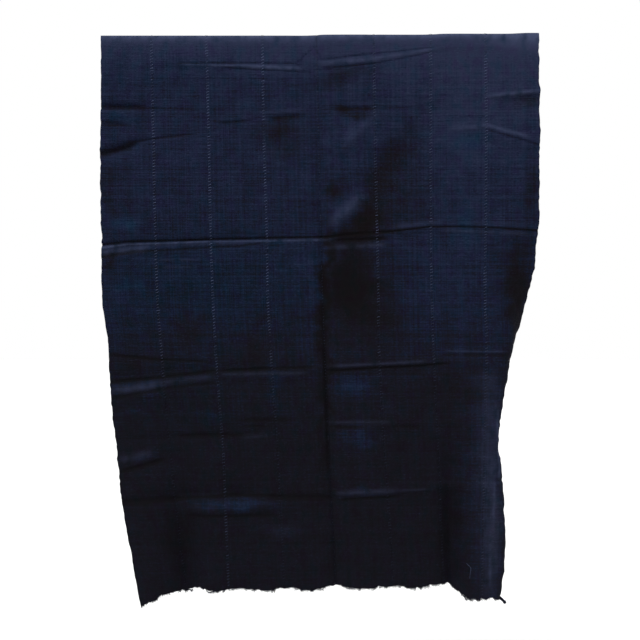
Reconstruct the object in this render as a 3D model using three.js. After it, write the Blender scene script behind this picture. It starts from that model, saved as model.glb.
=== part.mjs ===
import * as THREE from 'three';

// A plain indigo cloth of eight hand-woven strips, in the shape in which it hangs: turned over at
// its top, creased from being folded away, and turned back at its lower right side.
// Sizes are in millimetres. X runs along the hanging edge, the face looks along -Y, Z is up.
// The origin is the middle of the line on which the cloth rests, under its top edge.
// A place across the cloth is counted in strips from the left edge: 0 is that edge, 1 the first
// seam, and so on to 8 at the right edge. A place along the cloth is its distance below the top.

const THICKNESS = 2;
const SEAM_GAP = 0.3;
const TOP_RADIUS = 12;
const BACK_FALL = 275;
const BACK_LEAN = 4;
const TOP_LEVEL_ENDS = 420;
const MIDDLE_RADIUS = TOP_RADIUS + THICKNESS / 2;
const QUARTER_TURN = (MIDDLE_RADIUS * Math.PI) / 2;

// Rows of the mesh over the top, down the back, and down the front beside each crease.
const TURN_STEPS = 4;
const BACK_ROWS = 5;
const BESIDE_CREASE = [-1.7, -0.7, 0, 0.7, 1.7];

const STRIPS = [
  { name: 'strip_1', columns: 5, colour: 0x1a2138 },
  { name: 'strip_2', columns: 6, colour: 0x1b2239 },
  { name: 'strip_3', columns: 4, colour: 0x192037 },
  { name: 'strip_4', columns: 5, colour: 0x182037 },
  { name: 'strip_5', columns: 6, colour: 0x171c30 },
  { name: 'strip_6', columns: 5, colour: 0x171d32 },
  { name: 'strip_7', columns: 6, colour: 0x1b2138 },
  { name: 'strip_8', columns: 8, colour: 0x1d2339 },
];
const LAST_STRIP_WIDTH = 131;

// The top edge is level on the left and steps up to the right, by as much as its level at an x.
const TOP_LEVEL = [
  { x: -540, level: -1.2 },
  { x: -90, level: -1.2 },
  { x: -30, level: -1.2 },
  { x: 15, level: 1.2 },
  { x: 265, level: 1.3 },
  { x: 305, level: 3.4 },
  { x: 460, level: 3.5 },
  { x: 505, level: 5.4 },
  { x: 540, level: 5.4 },
];

// How the left edge and the seams, a to g, lean as they drop: their x at each distance down.
const LEANS = [
  { down: 0, left: -535, a: -412, b: -278, c: -141, d: -9, e: 131, f: 270, g: 404 },
  { down: 250, left: -536, a: -406, b: -271, c: -137, d: -4, e: 134, f: 270, g: 405 },
  { down: 500, left: -534, a: -402, b: -267, c: -130, d: 2, e: 140, f: 271, g: 404 },
  { down: 650, left: -533, a: -398, b: -262, c: -128, d: 7, e: 143, f: 274, g: 404 },
  { down: 750, left: -520, a: -390, b: -257, c: -122, d: 11, e: 144, f: 277, g: 408 },
  { down: 1000, left: -499, a: -369, b: -238, c: -105, d: 21, e: 156, f: 289, g: 402 },
  { down: 1250, left: -466, a: -343, b: -227, c: -92, d: 34, e: 174, f: 299, g: 397 },
  { down: 1400, left: -438, a: -325, b: -221, c: -86, d: 42, e: 184, f: 306, g: 394 },
];
const LEAN_LINES = ['left', 'a', 'b', 'c', 'd', 'e', 'f', 'g'];

// How the last strip turns back from the last seam: by how many degrees in the end, how far
// from the seam the bend starts, and the length of cloth that it takes.
const RIGHT_TURN = [
  { down: 0, turned: 0, starts: 30, takes: 60 },
  { down: 420, turned: 0, starts: 30, takes: 60 },
  { down: 500, turned: 22, starts: 10, takes: 70 },
  { down: 620, turned: 56, starts: 10, takes: 80 },
  { down: 750, turned: 80, starts: 12, takes: 84 },
  { down: 880, turned: 96, starts: 12, takes: 60 },
  { down: 1010, turned: 104, starts: 4, takes: 53 },
  { down: 1130, turned: 100, starts: 22, takes: 54 },
  { down: 1290, turned: 97, starts: 26, takes: 54 },
  { down: 1400, turned: 94, starts: 14, takes: 52 },
];
const TURN_PIECES = 24;

// The raw lower end, uneven as it hangs: its distance down at places across the cloth.
const HEM = [
  { across: 0, down: 1397 },
  { across: 0.3, down: 1378 },
  { across: 0.6, down: 1362 },
  { across: 1, down: 1354 },
  { across: 1.5, down: 1361 },
  { across: 2, down: 1352 },
  { across: 2.5, down: 1355 },
  { across: 3, down: 1348 },
  { across: 3.4, down: 1355 },
  { across: 4, down: 1341 },
  { across: 4.4, down: 1352 },
  { across: 5, down: 1350 },
  { across: 5.5, down: 1351 },
  { across: 6, down: 1338 },
  { across: 6.3, down: 1348 },
  { across: 6.7, down: 1376 },
  { across: 7, down: 1378 },
  { across: 7.4, down: 1388 },
  { across: 8, down: 1380 },
];

// The creases of storage, which cross the whole cloth: each one's distance down and how far it
// stands out, negative where it is a trough, at the left edge, the quarters and the right edge.
const CREASES = [
  {
    wide: 8, rowsAbove: 0,
    down: { left: 70, quarter: 69, middle: 68, threeQuarters: 34, right: 33 },
    rise: { left: 0, quarter: 5, middle: 3, threeQuarters: 4, right: 0 },
  },
  {
    wide: 11, rowsAbove: 9,
    down: { left: 515, quarter: 500, middle: 494, threeQuarters: 468, right: 472 },
    rise: { left: -8, quarter: -7, middle: 1, threeQuarters: 7, right: 7 },
  },
  {
    wide: 11, rowsAbove: 6,
    down: { left: 838, quarter: 812, middle: 814, threeQuarters: 798, right: 806 },
    rise: { left: -6, quarter: -5, middle: 3, threeQuarters: 6, right: 3 },
  },
  {
    wide: 11, rowsAbove: 2,
    down: { left: 992, quarter: 975, middle: 962, threeQuarters: 948, right: 950 },
    rise: { left: -3, quarter: -4, middle: 2, threeQuarters: 4, right: 2 },
  },
  {
    wide: 13, rowsAbove: 2,
    down: { left: 1139, quarter: 1118, middle: 1116, threeQuarters: 1104, right: 1110 },
    rise: { left: -6, quarter: -6, middle: 2, threeQuarters: 6, right: 2 },
  },
];
const CREASE_PLACES = [0, 2, 4, 6, 8];
const ROWS_ABOVE_HEM = 4;

// Folds that run down the cloth with its strips: where each lies across, how far down it starts
// and reaches its full depth, its half width in strips, and how far it stands out when full.
const UPRIGHT_FOLDS = [
  { across: 0.45, starts: 700, full: 1350, wide: 0.4, rise: 14 },
  { across: 1.15, starts: 980, full: 1330, wide: 0.28, rise: -30 },
  { across: 1.85, starts: 800, full: 1300, wide: 0.42, rise: 14 },
  { across: 2.9, starts: 500, full: 1300, wide: 0.5, rise: 5 },
  { across: 4, starts: 60, full: 560, wide: 0.13, rise: -6 },
  { across: 4.8, starts: 700, full: 1300, wide: 0.6, rise: 8 },
  { across: 6.25, starts: 880, full: 1250, wide: 0.24, rise: -34 },
  { across: 6.9, starts: 620, full: 1150, wide: 0.36, rise: 16 },
];

// Soft ridges and troughs of one place: centre, half length, half width, the angle by which it
// climbs to the right, and how far it stands out.
const SOFT_FORMS = [
  { x: -505, down: 174, long: 85, wide: 15, climbs: 0, rise: -6 },
  { x: -500, down: 199, long: 85, wide: 15, climbs: 0, rise: 6 },
  { x: -470, down: 278, long: 105, wide: 17, climbs: 13, rise: -8 },
  { x: -135, down: 206, long: 110, wide: 18, climbs: 3, rise: -4 },
  { x: 130, down: 174, long: 110, wide: 16, climbs: 2, rise: -5 },
  { x: 480, down: 140, long: 75, wide: 13, climbs: 4, rise: 7 },
  { x: 420, down: 240, long: 120, wide: 20, climbs: -14, rise: 8 },
  { x: 76, down: 250, long: 75, wide: 36, climbs: 38, rise: 11 },
  { x: 172, down: 330, long: 170, wide: 52, climbs: 58, rise: -13 },
  { x: 57, down: 440, long: 62, wide: 32, climbs: 42, rise: 12 },
  { x: 78, down: 610, long: 120, wide: 48, climbs: 66, rise: -11 },
  { x: -430, down: 880, long: 90, wide: 20, climbs: 6, rise: 6 },
  { x: 100, down: 975, long: 55, wide: 26, climbs: 18, rise: 6 },
  { x: -430, down: 1045, long: 80, wide: 20, climbs: 11, rise: -6 },
  { x: -205, down: 1152, long: 125, wide: 26, climbs: 4, rise: 9 },
];

// Below the turn at the top the front stands a little forward of the line. Lower down, past the
// end of the back fall, its weight brings it in again until it hangs right under the line.
const STANDS_FORWARD = 7;
const FORWARD_FROM = 30;
const FORWARD_BY = 160;
const SWINGS_IN = 22;
const SWING_FROM = 310;
const SWING_BY = 720;

function between(low, high, value) {
  return THREE.MathUtils.clamp((value - low) / (high - low), 0, 1);
}

function ease(low, high, value) {
  return THREE.MathUtils.smoothstep(value, low, high);
}

// A smooth curve through a table: the value of one column where another has a given value.
function lookUp(places, values, at) {
  const last = places.length - 1;
  let i = 0;
  while (i < last - 1 && at > places[i + 1]) i += 1;
  const before = Math.max(i - 1, 0);
  const after = Math.min(i + 2, last);
  const step = places[i + 1] - places[i];
  const t = between(places[i], places[i + 1], at);
  const leave = ((values[i + 1] - values[before]) / (places[i + 1] - places[before])) * step;
  const arrive = ((values[after] - values[i]) / (places[after] - places[i])) * step;
  const rest = 1 - t;
  return rest * rest * (1 + 2 * t) * values[i] + t * t * (3 - 2 * t) * values[i + 1]
    + rest * rest * t * leave - t * t * rest * arrive;
}

function column(table, name) {
  return table.map((row) => row[name]);
}

const LEAN_DOWNS = column(LEANS, 'down');
const LEAN_COLUMNS = LEAN_LINES.map((name) => column(LEANS, name));
const TURN_DOWNS = column(RIGHT_TURN, 'down');
const TURN_COLUMNS = ['turned', 'starts', 'takes'].map((name) => column(RIGHT_TURN, name));
const HEM_ACROSS = column(HEM, 'across');
const HEM_DOWNS = column(HEM, 'down');
const LEVEL_PLACES = column(TOP_LEVEL, 'x');
const LEVELS = column(TOP_LEVEL, 'level');
const CREASE_LINES = CREASES.map((crease) => ({
  wide: crease.wide,
  rowsAbove: crease.rowsAbove,
  downs: Object.values(crease.down),
  rises: Object.values(crease.rise),
}));

function seamX(line, down) {
  return lookUp(LEAN_DOWNS, LEAN_COLUMNS[line], down);
}

// The last strip's path from its seam: how far right and how far back a place on it lies, and
// how much it still faces forward.
function rightTurn(distance, down) {
  const [turned, starts, takes] = TURN_COLUMNS.map((values) => lookUp(TURN_DOWNS, values, down));
  const most = THREE.MathUtils.degToRad(turned);
  const piece = distance / TURN_PIECES;
  let right = 0;
  let back = 0;
  let angle = 0;
  for (let i = 0; i < TURN_PIECES; i += 1) {
    angle = most * ease(starts, starts + takes, (i + 0.5) * piece);
    right += Math.cos(angle) * piece;
    back += Math.sin(angle) * piece;
  }
  return { right, back, facing: Math.max(Math.cos(angle), 0) };
}

function creaseRelief(across, down) {
  let sum = 0;
  for (const crease of CREASE_LINES) {
    const away = (down - lookUp(CREASE_PLACES, crease.downs, across)) / crease.wide;
    sum += lookUp(CREASE_PLACES, crease.rises, across) / (1 + away * away);
  }
  return sum;
}

function uprightRelief(across, down) {
  let sum = 0;
  for (const fold of UPRIGHT_FOLDS) {
    const away = (across - fold.across) / fold.wide;
    sum += fold.rise * ease(fold.starts, fold.full, down) * Math.exp(-away * away);
  }
  return sum;
}

function softRelief(x, down) {
  let sum = 0;
  for (const form of SOFT_FORMS) {
    const angle = THREE.MathUtils.degToRad(form.climbs);
    const right = x - form.x;
    const up = form.down - down;
    const along = (right * Math.cos(angle) + up * Math.sin(angle)) / form.long;
    const beside = (up * Math.cos(angle) - right * Math.sin(angle)) / form.wide;
    sum += form.rise * Math.exp(-along * along - beside * beside);
  }
  return sum;
}

function frontRelief(across, x, down) {
  const free = ease(TOP_RADIUS, TOP_RADIUS * 3, down);
  return free * (creaseRelief(across, down) + uprightRelief(across, down) + softRelief(x, down));
}

function forwardOfLine(down) {
  return STANDS_FORWARD * ease(FORWARD_FROM, FORWARD_BY, down)
    - SWINGS_IN * ease(SWING_FROM, SWING_BY, down);
}

// A point of the cloth's middle surface. The length runs along the cloth from its top, positive
// down the front and negative down the back.
function clothPoint(across, length) {
  const travelled = Math.abs(length);
  const turn = Math.min(travelled, QUARTER_TURN) / MIDDLE_RADIUS;
  const fall = Math.max(travelled - QUARTER_TURN, 0);
  const z = MIDDLE_RADIUS * Math.cos(turn) - TOP_RADIUS - fall;
  const down = length > 0 ? Math.max(-z, 0) : 0;
  const strip = Math.min(Math.floor(across), STRIPS.length - 1);
  const part = across - strip;
  let x = seamX(strip, down);
  let back = 0;
  let facing = 1;
  if (strip === STRIPS.length - 1) {
    const path = rightTurn(part * LAST_STRIP_WIDTH, down);
    x += path.right;
    back = path.back;
    facing = path.facing;
  } else {
    x += (seamX(strip + 1, down) - x) * part;
  }
  const fades = 1 - ease(0, TOP_LEVEL_ENDS, down + (length < 0 ? fall : 0));
  const level = lookUp(LEVEL_PLACES, LEVELS, x) * fades;
  const round = MIDDLE_RADIUS * Math.sin(turn);
  if (length < 0) return new THREE.Vector3(x, round + BACK_LEAN * ease(0, BACK_FALL, fall), z + level);
  const forward = round + forwardOfLine(down) + facing * frontRelief(across, x, down);
  return new THREE.Vector3(x, back - forward, z + level);
}

function lengthAt(down) {
  return QUARTER_TURN + down - TOP_RADIUS;
}

// The lengths at which the mesh has its rows, at one place across: they follow the creases.
function rowLengths(across) {
  const rows = [];
  for (let i = BACK_ROWS; i > 0; i -= 1) {
    rows.push(-QUARTER_TURN - (BACK_FALL * i) / BACK_ROWS);
  }
  for (let i = -TURN_STEPS; i <= TURN_STEPS; i += 1) {
    rows.push((QUARTER_TURN * i) / TURN_STEPS);
  }
  for (const crease of CREASE_LINES) {
    const middle = lengthAt(lookUp(CREASE_PLACES, crease.downs, across));
    const first = middle + BESIDE_CREASE[0] * crease.wide;
    fillRows(rows, first, crease.rowsAbove);
    for (const beside of BESIDE_CREASE) rows.push(middle + beside * crease.wide);
  }
  const hem = lengthAt(lookUp(HEM_ACROSS, HEM_DOWNS, across));
  fillRows(rows, hem, ROWS_ABOVE_HEM);
  rows.push(hem);
  return rows;
}

function fillRows(rows, until, count) {
  const from = rows[rows.length - 1];
  for (let i = 1; i <= count; i += 1) rows.push(from + ((until - from) * i) / (count + 1));
}

// The outward direction, and the millimetres of cloth in one strip, at a place on the cloth.
const PROBE_ACROSS = 0.004;
const PROBE_LENGTH = 0.5;

function frameAt(across, length) {
  const left = clothPoint(Math.max(across - PROBE_ACROSS, 0), length);
  const right = clothPoint(Math.min(across + PROBE_ACROSS, STRIPS.length), length);
  const above = clothPoint(across, length - PROBE_LENGTH);
  const below = clothPoint(across, length + PROBE_LENGTH);
  const rightward = right.sub(left);
  const outward = below.sub(above).cross(rightward).normalize();
  return { outward, perStrip: rightward.length() / (2 * PROBE_ACROSS) };
}

// One strip: the front and back faces of its grid of points, closed round its four edges.
function stripMesh(strip, index) {
  const rows = rowLengths(0).length;
  const columns = strip.columns + 1;
  const places = [];
  for (let j = 0; j < columns; j += 1) {
    const across = index + j / strip.columns;
    const lengths = rowLengths(across);
    for (let i = 0; i < rows; i += 1) {
      const { outward, perStrip } = frameAt(across, lengths[i]);
      const inset = ((j === 0) - (j === columns - 1)) * (SEAM_GAP / 2 / perStrip);
      const middle = clothPoint(across + inset, lengths[i]);
      for (const side of [0.5, -0.5]) {
        places.push(...middle.clone().addScaledVector(outward, side * THICKNESS).toArray());
      }
    }
  }
  const corner = (i, j, side) => (j * rows + i) * 2 + side;
  const faces = [];
  const quad = (p, q, r, s) => faces.push(p, q, r, p, r, s);
  for (let j = 0; j + 1 < columns; j += 1) {
    for (let i = 0; i + 1 < rows; i += 1) {
      quad(corner(i, j, 0), corner(i + 1, j, 0), corner(i + 1, j + 1, 0), corner(i, j + 1, 0));
      quad(corner(i, j + 1, 1), corner(i + 1, j + 1, 1), corner(i + 1, j, 1), corner(i, j, 1));
    }
    const end = rows - 1;
    quad(corner(0, j + 1, 0), corner(0, j + 1, 1), corner(0, j, 1), corner(0, j, 0));
    quad(corner(end, j, 0), corner(end, j, 1), corner(end, j + 1, 1), corner(end, j + 1, 0));
  }
  for (let i = 0; i + 1 < rows; i += 1) {
    const end = columns - 1;
    quad(corner(i, 0, 0), corner(i, 0, 1), corner(i + 1, 0, 1), corner(i + 1, 0, 0));
    quad(corner(i + 1, end, 0), corner(i + 1, end, 1), corner(i, end, 1), corner(i, end, 0));
  }
  const geometry = new THREE.BufferGeometry();
  geometry.setAttribute('position', new THREE.Float32BufferAttribute(places, 3));
  geometry.setIndex(faces);
  geometry.computeVertexNormals();
  const cotton = new THREE.MeshStandardMaterial({
    color: strip.colour, roughness: 0.95, metalness: 0, side: THREE.DoubleSide,
  });
  const mesh = new THREE.Mesh(geometry, cotton);
  mesh.name = strip.name;
  return mesh;
}

const cloth = new THREE.Group();
cloth.name = 'indigo_cloth';
STRIPS.forEach((strip, index) => cloth.add(stripMesh(strip, index)));

export default cloth;
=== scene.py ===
"""An indigo cloth of eight hand-woven strips, sewn edge to edge and hung over a line.

The tables are in millimetres: x to the right of the middle, down from the top edge, and rise out
of the face of the cloth. A place across counts strips from the left edge, 0 to 8. A length runs
along the cloth from its top, positive down the front and negative down the back.
"""

import math

import bpy
import numpy as np
from bpy.props import FloatProperty, FloatVectorProperty, PointerProperty
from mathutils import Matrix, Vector


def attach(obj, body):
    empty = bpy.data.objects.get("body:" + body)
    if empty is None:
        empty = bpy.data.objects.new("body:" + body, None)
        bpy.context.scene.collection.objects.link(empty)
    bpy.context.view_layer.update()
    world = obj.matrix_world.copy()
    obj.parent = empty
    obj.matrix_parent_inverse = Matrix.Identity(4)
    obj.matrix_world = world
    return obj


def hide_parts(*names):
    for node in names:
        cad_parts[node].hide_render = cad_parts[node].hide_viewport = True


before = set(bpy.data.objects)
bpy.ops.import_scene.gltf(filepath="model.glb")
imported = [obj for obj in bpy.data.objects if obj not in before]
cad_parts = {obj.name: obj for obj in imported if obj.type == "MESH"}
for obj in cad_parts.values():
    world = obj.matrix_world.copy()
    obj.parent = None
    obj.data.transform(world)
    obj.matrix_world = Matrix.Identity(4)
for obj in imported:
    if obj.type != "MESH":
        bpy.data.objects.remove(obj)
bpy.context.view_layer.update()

bl_info = {
    "name": "Indigo strip cloth",
    "version": (1, 0, 0),
    "blender": (4, 5, 0),
    "location": "3D View > Sidebar > Cloth",
    "description": "Makes a hung cloth of eight sewn strips with its seams, fray and creases",
    "category": "Add Mesh",
}

MM = 0.001
STRIPS = 8
LAST_STRIP = STRIPS - 1
STRIP_WIDTHS = [123, 134, 137, 132, 140, 139, 134, 131]
LAST_STRIP_WIDTH = STRIP_WIDTHS[LAST_STRIP]
STRIP_WIDTH = 134  # on average

# The line that the cloth turns over, and how far the cloth drops on each side of it
TOP_RADIUS = 12
MIDDLE_RADIUS = 13
QUARTER_TURN = MIDDLE_RADIUS * math.pi / 2
BACK_FALL = 275
BACK_LEAN = 4
USUAL_DROP = 1355

# How the front stands forward of the line and then swings in: how far, between which downs
FRONT_LEANS = [(7, 30, 160), (-22, 310, 720)]

# The top edge's level: x, level. It fades out down the cloth.
TOP_LEVEL_ENDS = 420
TOP_LEVEL = [(-540, -1.2), (-90, -1.2), (-30, -1.2), (15, 1.2), (265, 1.3), (305, 3.4), (460, 3.5),
             (505, 5.4), (540, 5.4)]

# How the left edge and the seven seams lean as they drop: down, then the x of each
LEANS = [
    (0, -535, -412, -278, -141, -9, 131, 270, 404),
    (250, -536, -406, -271, -137, -4, 134, 270, 405),
    (500, -534, -402, -267, -130, 2, 140, 271, 404),
    (650, -533, -398, -262, -128, 7, 143, 274, 404),
    (750, -520, -390, -257, -122, 11, 144, 277, 408),
    (880, -514, -380, -248, -114, 16, 150, 283, 405),
    (1000, -499, -369, -238, -105, 21, 156, 289, 402),
    (1137, -487, -355, -232, -98, 28, 166, 295, 399),
    (1250, -466, -343, -227, -92, 34, 174, 299, 397),
    (1400, -438, -325, -221, -86, 42, 184, 306, 394),
]

# How the last strip turns back: down, degrees turned, where the bend starts, what it takes.
# The bend is added up from short pieces.
RIGHT_TURN = [
    (0, 0, 30, 60), (420, 0, 30, 60), (500, 14, 10, 70), (560, 24, 10, 74), (640, 47, 12, 80),
    (750, 78, 13, 84), (880, 94, 13, 62), (960, 101, 10, 56), (1010, 104, 8, 53),
    (1130, 100, 23, 54), (1290, 97, 27, 54), (1400, 94, 16, 52),
]
TURN_PIECES = 24

# The raw lower end: across, down
HEM = [
    (0, 1398), (0.3, 1380), (0.6, 1363), (1, 1359), (1.14, 1360), (1.2, 1352), (1.42, 1353),
    (1.55, 1361), (2, 1353), (2.5, 1356), (2.75, 1357), (3, 1350), (3.4, 1356), (3.75, 1353),
    (3.97, 1340), (4.15, 1350), (4.4, 1352), (5, 1348), (5.5, 1350), (6, 1340), (6.3, 1354),
    (6.55, 1374), (6.85, 1379), (7, 1376), (7.25, 1376), (7.5, 1380), (8, 1373),
]

# The creases of storage: half width, then their downs and rises at across 0, 2, 4, 6 and 8
CREASE_PLACES = [0, 2, 4, 6, 8]
CREASES = [
    (8, (70, 69, 68, 34, 33), (0, 5, 3, 4, 0)),
    (11, (515, 500, 494, 468, 472), (-8, -7, 1, 7, 7)),
    (11, (838, 812, 814, 798, 806), (-6, -5, 3, 6, 3)),
    (11, (992, 975, 962, 948, 950), (-3, -4, 2, 4, 2)),
    (13, (1139, 1118, 1116, 1104, 1110), (-6, -6, 2, 6, 2)),
]

# Folds that run down the cloth: across, starts, full, half width in strips, rise
UPRIGHT_FOLDS = [
    (0.45, 700, 1350, 0.4, 14), (1.15, 980, 1330, 0.28, -30), (1.85, 800, 1300, 0.42, 14),
    (2.9, 500, 1300, 0.5, 5), (4, 60, 560, 0.13, -6), (4.8, 700, 1300, 0.6, 8),
    (6.25, 880, 1250, 0.24, -34), (6.9, 620, 1150, 0.36, 16),
]

# Soft ridges and troughs: x, down, half length, half width, degrees it climbs, rise
SOFT_FORMS = [
    (-505, 174, 85, 15, 0, -6), (-500, 199, 85, 15, 0, 6), (-470, 278, 105, 17, 13, -8),
    (-135, 206, 110, 18, 3, -4), (130, 174, 110, 16, 2, -5), (480, 140, 75, 13, 4, 7),
    (420, 240, 120, 20, -14, 8), (76, 250, 75, 36, 38, 11), (172, 330, 170, 52, 58, -13),
    (57, 440, 62, 32, 42, 12), (78, 610, 120, 48, 66, -11), (-430, 880, 90, 20, 6, 6),
    (100, 975, 55, 26, 18, 6), (-430, 1045, 80, 20, 11, -6), (-205, 1152, 125, 26, 4, 9),
]

# Sharp creases and small folds: x and down of both ends, bow, half width, rise, and how pale
# (above 0) or dark (below 0) the colour is along them: the pale lines are partly wear and partly
# painted highlight, the dark lines are painted shade
SHARP_CREASES = [
    # High on the left half
    (-345, 68, -55, 69, -1, 2.6, -1.8, -0.7), (-335, 72, -150, 76, 0, 2.4, 1.2, 0.75),
    (-210, 75, -52, 81, 0, 5, 2.0, 0.8), (-230, 78, -20, 91, 1, 2.6, -1.8, -0.6),
    (-412, 106, -37, 106, 0, 2.2, -0.5, -0.3), (-49, 65, -14, 31, -4, 2.4, -1.5, -0.6),
    (-14, 31, 3, 66, -3, 2.4, -1.2, -0.5),
    # Pulled in from the left edge
    (-560, 174, -428, 177, 0, 7, -5, -0.6), (-560, 187, -440, 185, 0, 5, 2.5, 0.12),
    (-428, 178, -318, 181, 0, 2.2, -1, -0.5), (-545, 214, -470, 222, 0, 6, -3, -0.5),
    (-560, 294, -447, 262, 4, 8, -6, -0.7), (-560, 306, -440, 274, 4, 6, 2.5, 0.1),
    (-447, 260, -306, 242, -1, 2.6, -1.8, -0.6), (-447, 267, -320, 249, -1, 4, 1.2, 0.12),
    # High in the middle
    (-250, 216, -175, 209, 0, 4, -2.5, -0.5), (-250, 208, -165, 201, 0, 6, 1.5, 0.12),
    (-120, 205, -42, 197, 0, 6, -3, -0.6), (-140, 190, -40, 184, 0, 6, 2, 0.15),
    # High on the right half
    (2, 61, 122, 48, 0, 3, -2.4, -0.7), (122, 48, 294, 31, 0, 2.6, -2.2, -0.6),
    (4, 71, 150, 59, 0, 6, 1.8, 0.5), (130, 59, 280, 37, 0, 4.5, 1.4, 0.45),
    (2, 84, 127, 71, 0, 3, -2.4, -0.7), (127, 71, 275, 42, 2, 2.6, -2.0, -0.5),
    (47, 182, 130, 180, 0, 6, -3.5, -0.7), (150, 179, 252, 176, 0, 3.5, -1, -0.35),
    (60, 172, 200, 171, 0, 5, 1.2, 0.1), (48, 286, 118, 214, 0, 10, 4, 0.15),
    (24, 463, 98, 402, 0, 13, 4, 0.3), (409, 153, 560, 139, 0, 4.5, 3.5, 0.5),
    (440, 166, 560, 159, 0, 9, -2.5, -0.25), (328, 203, 397, 203, 0, 3, -1.2, -0.35),
    (318, 231, 420, 225, 0, 7, 2, 0.3), (404, 224, 505, 251, 0, 5, 2, 0.5),
    (404, 233, 505, 262, 0, 3.6, -2.6, -0.7), (505, 262, 560, 280, 0, 3.6, -2.2, -0.5),
    # The long crease from side to side
    (-560, 515, -473, 504, 0, 2.6, -3.5, -0.55), (-473, 504, -270, 498, 0, 2.6, -3.5, -0.9),
    (-270, 498, 30, 493, 0, 2.6, -3.0, -0.8), (-560, 523, -473, 511, 0, 3, 1.2, 1.3),
    (-473, 511, -270, 505, 0, 2.6, 1, 1.05), (-270, 505, 26, 500, 0, 2.6, 1, 0.7),
    (-560, 535, -420, 519, 0, 7, 2.5, 0.55), (-420, 514, -170, 508, 0, 4, 1.5, 0.2),
    (-545, 543, -453, 529, 0, 3.5, -2.5, -0.8), (-453, 529, -196, 515, 0, 3, -2, -0.6),
    (-196, 515, -130, 505, 0, 2.6, -1.5, -0.5), (28, 491, 165, 480, 0, 4.5, -4, -1),
    (34, 502, 162, 496, 0, 4, -3, -0.7), (160, 481, 274, 468, 0, 2.6, -3, -0.9),
    (274, 469, 355, 468, 0, 2.6, -3, -0.9), (355, 468, 560, 479, -1, 2.6, -3, -0.8),
    (180, 469, 290, 458, 0, 6, 2, 0.25), (330, 461, 500, 464, 0, 6, 1.5, 0.1),
    (300, 477, 540, 485, 0, 5, 1.2, 0.3), (22, 519, 160, 512, 0, 6, 2, 0.45),
    (60, 523, 110, 521, 0, 3, 1, 0.2),
    # Low on the left half
    (-515, 781, -392, 793, 0, 4, -2.5, -0.8), (-392, 793, -278, 797, 0, 2.6, -1.8, -0.6),
    (-520, 847, -392, 836, 0, 4.5, -4, -0.9), (-392, 836, -257, 820, 0, 4, -3, -0.8),
    (-510, 870, -385, 853, 0, 10, 3, 0.45), (-385, 849, -265, 835, 0, 6, 1.5, 0.3),
    (-510, 887, -380, 864, 0, 5, -3.5, -0.8), (-380, 863, -265, 850, 0, 3, -2, -0.5),
    (-240, 820, -130, 815, 0, 3.5, -3, -0.8), (-130, 815, -18, 811, 0, 3.5, -2, -0.5),
    (-235, 829, -40, 826, 0, 4, 1.5, 0.4), (-195, 941, -75, 940, 0, 4.5, -1.5, -0.5),
    (-190, 956, -120, 955, 0, 3, -1, -0.4), (-345, 979, -190, 977, 0, 4.5, -2, -0.7),
    (-186, 983, -130, 981, 0, 5, 1.2, 0.25), (-490, 1040, -412, 1022, 0, 10, 4, 0.4),
    (-485, 1067, -388, 1040, 0, 5, -3.5, -0.7), (-500, 1144, -350, 1135, 0, 7, -3, -0.7),
    (-370, 1136, -195, 1122, 0, 4, -2.5, -0.6), (-215, 1123, -100, 1127, 0, 4, -2.5, -0.6),
    (-122, 1128, 30, 1131, 0, 7, -3.5, -0.7), (-318, 1150, -112, 1145, 0, 16, 4, 0.08),
    (-318, 1176, -112, 1174, 0, 5, -2, -0.5), (-115, 1213, -56, 1213, 0, 14, 3, 0.15),
    (-399, 549, -301, 548, 0, 2, 0.4, 0.3), (-392, 567, -310, 566, 0, 2, 0.4, 0.25),
    # Low on the right half
    (26, 810, 255, 798, 0, 4, 3, 0.4), (15, 821, 140, 812, 0, 4, -3, -0.8),
    (140, 812, 310, 803, 0, 3.2, -2.5, -0.7), (312, 772, 450, 773, 1, 3, 1.1, 0.32),
    (300, 780, 450, 782, 0, 4, -1.5, -0.4), (24, 947, 176, 946, 0, 4, 2.5, 0.3),
    (30, 958, 100, 958, 0, 4, -2, -0.6), (180, 956, 240, 956, 0, 4.5, -1.8, -0.4),
    (40, 1121, 184, 1113, 0, 6, 3.5, 0.4), (48, 1137, 192, 1126, 0, 4, -2.5, -0.6),
    (192, 1113, 268, 1110, 0, 4, 1.5, 0.3),
]

# The same for creases that run down the cloth, where no rows gather; the pale lines down the
# turned right strip are painted highlight, the dark one in the middle is painted shade
UPRIGHT_CREASES = [
    (10, 769, 20, 1063, 0, 3, -2, -0.8), (433, 900, 441, 1100, 0, 3, 0.8, 0.8),
    (427, 1090, 414, 1350, 0, 3, 1, 0.5), (412, 820, 414, 1380, 0, 24, 0, 0.2),
]

ALL_CREASES = SHARP_CREASES + UPRIGHT_CREASES

# How deep each seam lies, its share of that high up, and between which downs it deepens
SEAM_DEPTHS = [0.5, 0.6, 0.6, 3.6, 0.6, 0.6, 0.6]
SEAM_HALF_WIDTH = 3
SEAM_SHARE_HIGH_UP = 0.3
SEAM_DEEPENS = (60, 520)

# How the cloth puckers beside a seam
PUCKER_RISE = 0.5
PUCKER_CELL = 13
PUCKER_HALF_WIDTH = 9

# How pale each seam's thread is, high up and low down, and between which downs it fades
SEAMS_SHOW = [(0.85, 0.1), (0.95, 0.4), (0.95, 0.12), (0.25, 0.02), (0.7, 0.1), (0.65, 0.12),
              (0.85, 0.3)]
SEAMS_FADE = (600, 950)

# Small random folds: cell across, cell along, rise
WRINKLES = [(95, 62, 1.6), (40, 24, 0.9), (16, 9, 0.3)]
WRINKLES_FULL_AT = 70

# How the free edges wander: cell along, shift
EDGE_WAVES = [(25, 2.2), (9, 1.3)]
EDGE_WAVE_REACH = 14

# The same waves make the turned strip uneven: between which downs and parts of it they grow
TURN_WAVES_DOWN = (420, 560)
TURN_WAVES_PART = (0.05, 0.25)

# How ragged the two raw ends are: cells to a strip, amount
HEM_RAGGED = [(9, 3.4), (15, 4.2)]
BACK_RAGGED = (12, 2)
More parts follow.
